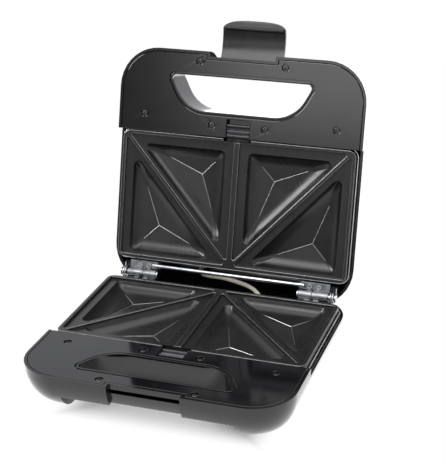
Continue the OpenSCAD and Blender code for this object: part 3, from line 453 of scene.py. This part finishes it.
# Sections as (outward, upward): the cover's edge, then the opening's wall with its
# bead and groove; and a well's as (radius, upward)
cover_edge = [(0, -cover_thickness), (0, -0.45), (-0.13, -0.13), (-0.45, 0)]
mouth_edge = [(0, -cover_thickness), (0, -0.45), (0.13, -0.13), (0.45, 0), (1.45, 0.02), (1.78, -0.13),
              (1.9, -0.45), (1.9, -1.2), (3.0, -1.22), (3.0, -0.45), (3.13, -0.13), (3.45, 0)]
well_edge = [(3.65, 0), (3.4, -0.1), (3.3, -0.35), (3.3, -1.85)]
screw_wells = [(39.7, 9.4), (24.7, 64.8), (89.6, 59.6)]
cover_arcs = [
    (-cover_half + cover_corner, cover_front + cover_corner, cover_corner, pi, pi / 2),
    (-notch_side - small_corner, cover_front + small_corner, small_corner, -pi / 2, pi / 2),
    (-notch_side + small_corner, notch_back - small_corner, small_corner, pi, -pi / 2),
    (notch_side - small_corner, notch_back - small_corner, small_corner, pi / 2, -pi / 2),
    (notch_side + small_corner, cover_front + small_corner, small_corner, pi, pi / 2),
    (cover_half - cover_corner, cover_front + cover_corner, cover_corner, -pi / 2, pi / 2),
    (cover_half - small_corner, cover_back - small_corner, small_corner, 0, pi / 2),
    (window_side + small_corner, cover_back - small_corner, small_corner, pi / 2, pi / 2),
    (window_side - small_corner, window_front + small_corner, small_corner, 0, -pi / 2),
    (-window_side + small_corner, window_front + small_corner, small_corner, -pi / 2, -pi / 2),
    (-window_side - small_corner, cover_back - small_corner, small_corner, 0, pi / 2),
    (-cover_half + small_corner, cover_back - small_corner, small_corner, pi / 2, pi / 2)]
grip_turn = radians(27.7)
grip_arcs = [
    (60.7, 25.8, 3.6, -pi / 2, pi / 2 + grip_turn),
    (31.5, 22.5, 31.0, grip_turn, pi / 2 - grip_turn),
    (-31.5, 22.5, 31.0, pi / 2, pi / 2 - grip_turn),
    (-60.7, 25.8, 3.6, pi - grip_turn, pi / 2 + grip_turn)]


def round_ring(bm, x, y, radius, height):
    """Round loop of edges about a screw's axis."""
    return ring(bm, [(x, y, radius, pi / 2 * k, pi / 2) for k in range(4)], 0, height, well_steps)


def handle_cover(name, node, body, place):
    """Cover with its opening, window, front notch and wells."""
    bm = bmesh.new()
    rim = [ring(bm, cover_arcs, grow, height, curve_steps) for grow, height in cover_edge]
    mouth = [ring(bm, grip_arcs, grow, height, curve_steps) for grow, height in mouth_edge]
    skin_over(bm, rim)
    skin_over(bm, mouth)
    tops = rim[-1] + mouth[-1]
    for x, y in screw_wells:
        for side in (1, -1):
            well = [round_ring(bm, side * x, y, radius, height) for radius, height in well_edge]
            skin_over(bm, well)
            bmesh.ops.edgeloop_fill(bm, edges=well[-1])
            tops += well[0]
    bmesh.ops.triangle_fill(bm, use_beauty=True, edges=tops, normal=(0, 0, 1))
    for side in tops:
        side.smooth = False
    bmesh.ops.triangle_fill(bm, use_beauty=True, edges=rim[0] + mouth[0], normal=(0, 0, -1))
    bmesh.ops.remove_doubles(bm, verts=bm.verts, dist=1e-4)
    bmesh.ops.transform(bm, matrix=place, verts=bm.verts)
    bmesh.ops.recalc_face_normals(bm, faces=bm.faces)
    return put_in(bm, name, [cover_black], node, body)


cover_black = finish("cover_black", (0.0045, 0.0047, 0.0058), (0.007, 0.0072, 0.0088), 40,
                     (0.07, 0.1), grain=1600, relief=0.02)
handle_cover("lower_handle_cover", "base_cover", "base", lower_place)

# ---------------------------------------------------------------- lower cover screws
# Six pan-head steel screws with a cross recess, blackened, each sunk in its well
# and driven down into a post of the housing.
head_edge = [(2.4, -1.8), (2.4, -1.05), (2.3, -0.8), (2.1, -0.62), (1.9, -0.56)]
# The cross at its top and floor: height, length of an arm, half its width
cross_levels = [(-0.56, 1.7, 0.4), (-1.7, 1.3, 0.3)]
shank_radius, shank_end = 1.5, -10.6


def cross_screw(bm, x, y, turned):
    """One screw, turned by its own angle as drivers leave them."""
    known = set(bm.verts)
    head = [round_ring(bm, 0, 0, radius, height) for radius, height in head_edge]
    skin_over(bm, head)
    cross = []
    for height, arm, half in cross_levels:
        spots = [(arm, -half), (arm, half), (half, half), (half, arm), (-half, arm), (-half, half),
                 (-arm, half), (-arm, -half), (-half, -half), (-half, -arm), (half, -arm), (half, -half)]
        corners = [bm.verts.new((px, py, height)) for px, py in spots]
        cross.append([bm.edges.new((p, q)) for p, q in zip(corners, corners[1:] + corners[:1])])
    skin_over(bm, cross)
    bmesh.ops.edgeloop_fill(bm, edges=cross[1])
    bmesh.ops.triangle_fill(bm, use_beauty=True, edges=head[-1] + cross[0], normal=(0, 0, 1))
    shank = [round_ring(bm, 0, 0, shank_radius, height)
             for height in (head_edge[0][1] - loop_step, shank_end)]
    skin_over(bm, [head[0]] + shank)
    bmesh.ops.edgeloop_fill(bm, edges=shank[-1])
    made = [v for v in bm.verts if v not in known]
    spot = Matrix.Translation((x, y, 0)) @ Matrix.Rotation(turned, 4, "Z")
    bmesh.ops.transform(bm, matrix=spot, verts=made)


def cover_screws(name, node, body, place):
    """The six screws of one cover."""
    bm = bmesh.new()
    for k, (x, y) in enumerate(screw_wells):
        cross_screw(bm, x, y, 0.4 + 0.9 * k)
        cross_screw(bm, -x, y, 1.1 - 0.7 * k)
    bmesh.ops.transform(bm, matrix=place, verts=bm.verts)
    bmesh.ops.recalc_face_normals(bm, faces=bm.faces)
    return put_in(bm, name, [blackened_steel], node, body)


blackened_steel = finish("blackened_steel", (0.06, 0.058, 0.055), (0.1, 0.097, 0.093), 200,
                         (0.28, 0.38), metal=1.0)
cover_screws("lower_cover_screws", "base_cover_screws", "base", lower_place)

# ---------------------------------------------------------------- lower plate catch
# A sprung slide with finger ridges, moulded in dark grey plastic, held under the
# cover by its side wings.
catch_half = 10.6
wing_middle, wing_size = (11.9, 68.2, -4.1), (3.4, 10.4, 2.4)
# Section from front to rear, as (y, z)
catch_section = [(63.0, -5.3), (63.0, -1.6), (63.4, -1.1), (64.3, -0.92), (65.2, -1.3), (65.7, -2.7),
                 (66.3, -3.4), (67.5, -3.4), (68.1, -2.4), (68.8, -2.0), (70.3, -2.0), (70.8, -3.0),
                 (71.4, -3.0), (71.9, -1.5), (72.6, -1.05), (73.8, -1.0), (74.6, -1.6), (75.2, -2.8),
                 (76.0, -3.3), (78.4, -3.3), (78.4, -5.3)]


def plate_catch(name, node, place):
    """Ridged slide drawn across from its section, with a wing on each side."""
    bm = bmesh.new()
    spots = [bm.verts.new((-catch_half, y, z)) for y, z in catch_section]
    edges = [bm.edges.new(pair) for pair in zip(spots, spots[1:] + spots[:1])]
    face = bmesh.ops.edgeloop_fill(bm, edges=edges)["faces"]
    drawn = bmesh.ops.extrude_face_region(bm, geom=face)["geom"]
    bmesh.ops.translate(bm, verts=[g for g in drawn if isinstance(g, bmesh.types.BMVert)],
                        vec=(2 * catch_half, 0, 0))
    for side in (1, -1):
        spot = Matrix.Translation((side * wing_middle[0], *wing_middle[1:]))
        bmesh.ops.create_cube(bm, size=1, matrix=spot @ Matrix.Diagonal((*wing_size, 1)))
    bmesh.ops.transform(bm, matrix=place, verts=bm.verts)
    bmesh.ops.recalc_face_normals(bm, faces=bm.faces)
    return put_in(bm, name, [catch_grey], node, node, edge=0.0002, sharp=50)


catch_grey = finish("catch_grey", (0.02, 0.019, 0.023), (0.032, 0.03, 0.036), 100, (0.25, 0.32))
plate_catch("lower_plate_catch", "lower_catch", lower_place)

# ---------------------------------------------------------------- hinges
# Zinc-plated leaves with rolled knuckles, screwed down with domed screws, on
# turned steel pins, and a bright steel rod that ties the lid's leaves together.
zinc = finish("zinc_plate", (0.144, 0.151, 0.158), (0.259, 0.266, 0.281), 160, (0.3, 0.45), metal=1.0)
bright = finish("bright_steel", (0.34, 0.347, 0.362), (0.46, 0.468, 0.483), 120, (0.18, 0.26), metal=1.0)
for side in ("left", "right"):
    moulded("lower_hinge_leaf_" + side, "base_leaf_" + side, "base", zinc, edge=0.0002)
moulded("lower_leaf_screws", "base_leaf_screws", "base", bright)
moulded("turned_hinge_pins", "hinge_pins", "base", bright)
moulded("hinge_tie_rod", "hinge_rod", "lid", bright)

# ---------------------------------------------------------------- lid springs
# Coils of bright spring wire round the outer ends of the pins, wound two turns and
# a bit, with one straight leg pressing on each half.
coil_start, coil_end, coil_radius, wire_radius, leg_length = 96.2, 100.3, 4.55, 0.65, 8.0
coil_turns, coil_steps, leg_lean = 2 + 76 / 360, 54, radians(14)
for side, way in (("left", -1), ("right", 1)):
    bm = bmesh.new()
    first_spot = Matrix.Translation((coil_start, hinge_back, -hinge_drop - coil_radius))
    tip = bmesh.ops.create_circle(bm, segments=12, radius=wire_radius,
                                  matrix=first_spot @ Matrix.Rotation(pi / 2, 4, "X"))["verts"]
    start_loop = list({e for v in tip for e in v.link_edges})
    wound = bmesh.ops.spin(bm, geom=start_loop, cent=(0, hinge_back, -hinge_drop), axis=(1, 0, 0),
                           dvec=((coil_end - coil_start) / coil_steps, 0, 0),
                           angle=coil_turns * 2 * pi, steps=coil_steps)
    end_loop = [g for g in wound["geom_last"] if isinstance(g, bmesh.types.BMEdge)]
    for loop, leg in ((start_loop, (0, -leg_length, 0)),
                      (end_loop, (0, leg_length * sin(leg_lean), leg_length * cos(leg_lean)))):
        drawn = bmesh.ops.extrude_edge_only(bm, edges=loop)["geom"]
        ends = [g for g in drawn if isinstance(g, bmesh.types.BMVert)]
        bmesh.ops.translate(bm, verts=ends, vec=leg)
        bmesh.ops.edgeloop_fill(bm, edges=[e for e in {e for v in ends for e in v.link_edges}
                                           if all(v in ends for v in e.verts)])
    bmesh.ops.transform(bm, matrix=half_spot @ Matrix.Scale(way, 4, (1, 0, 0)), verts=bm.verts)
    bmesh.ops.recalc_face_normals(bm, faces=bm.faces)
    coil = put_in(bm, "lid_spring_" + side, [bright], "hinge_spring_" + side, None, sharp=60)
    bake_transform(coil)

# ---------------------------------------------------------------- lead
# A twin lead in a woven glass-fibre sleeve carries current across to the lid. It leaves the base between the
# hinges.
sleeve = finish("woven_sleeve", (0.72, 0.66, 0.56), (0.85, 0.8, 0.7), 600, (0.8, 0.9), relief=0.6)
lead = moulded("sleeved_lead", "link_lead", None, sleeve, edge=0, sharp=60)
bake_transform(lead)

# ---------------------------------------------------------------- lid housing and heating parts
# The upper housing is a hollow moulding like the lower one. It holds the same steel
# pan, element and straps, and the block where the lead ends.
moulded("upper_housing", "lid_shell", "lid", housing_black, edge=0.0005)
moulded("upper_steel_pan", "upper_pan", "lid", pressed_steel, edge=0.0002)
moulded("upper_heating_element", "upper_element", "lid", sheath, edge=0.0002)
moulded("upper_straps", "upper_element_straps", "lid", pressed_steel, edge=0.0001)
moulded("upper_terminal_block", "lid_terminal_block", "lid", ceramic)

# ---------------------------------------------------------------- upper plate, cover and hinge leaves
# The same cast plate, handle cover, screws, hinge leaves and sprung catch as on the
# base, turned over to face them.
cooking_plate("upper_cooking_plate", "upper_plate", "lid", upper_place)
handle_cover("upper_handle_cover", "lid_cover", "lid", upper_place)
cover_screws("upper_cover_screws", "lid_cover_screws", "lid", upper_place)
for side in ("left", "right"):
    moulded("upper_hinge_leaf_" + side, "lid_leaf_" + side, "lid", zinc, edge=0.0002)
moulded("upper_leaf_screws", "lid_leaf_screws", "lid", bright)
plate_catch("upper_plate_catch", "upper_catch", upper_place)

# ---------------------------------------------------------------- lamp lenses
# Two small clear plastic lenses, red for mains and green for ready, pressed into
# holes in the top of the lid.
red_glass = finish("red_lens", (0.55, 0.02, 0.015), (0.65, 0.03, 0.02), 60, (0.12, 0.2))
green_glass = finish("green_lens", (0.02, 0.35, 0.08), (0.03, 0.45, 0.1), 60, (0.12, 0.2))
moulded("red_lens", "red_lamp", "lid", red_glass, edge=0.0004)
moulded("green_lens", "green_lamp", "lid", green_glass, edge=0.0004)

# ---------------------------------------------------------------- latch
# A curved lever in glossy black plastic with a hook ridge and a rounded tab, on
# a steel pin across the notch of the lid.
latch_black = finish("latch_black", (0.011, 0.011, 0.012), (0.015, 0.015, 0.0165), 40, (0.24, 0.3),
                     relief=0.05, shine=0.42)
moulded("latch_lever", "latch", "latch", latch_black, edge=0.0005)
moulded("latch_pin_steel", "latch_pin", "lid", bright, edge=0.0002)
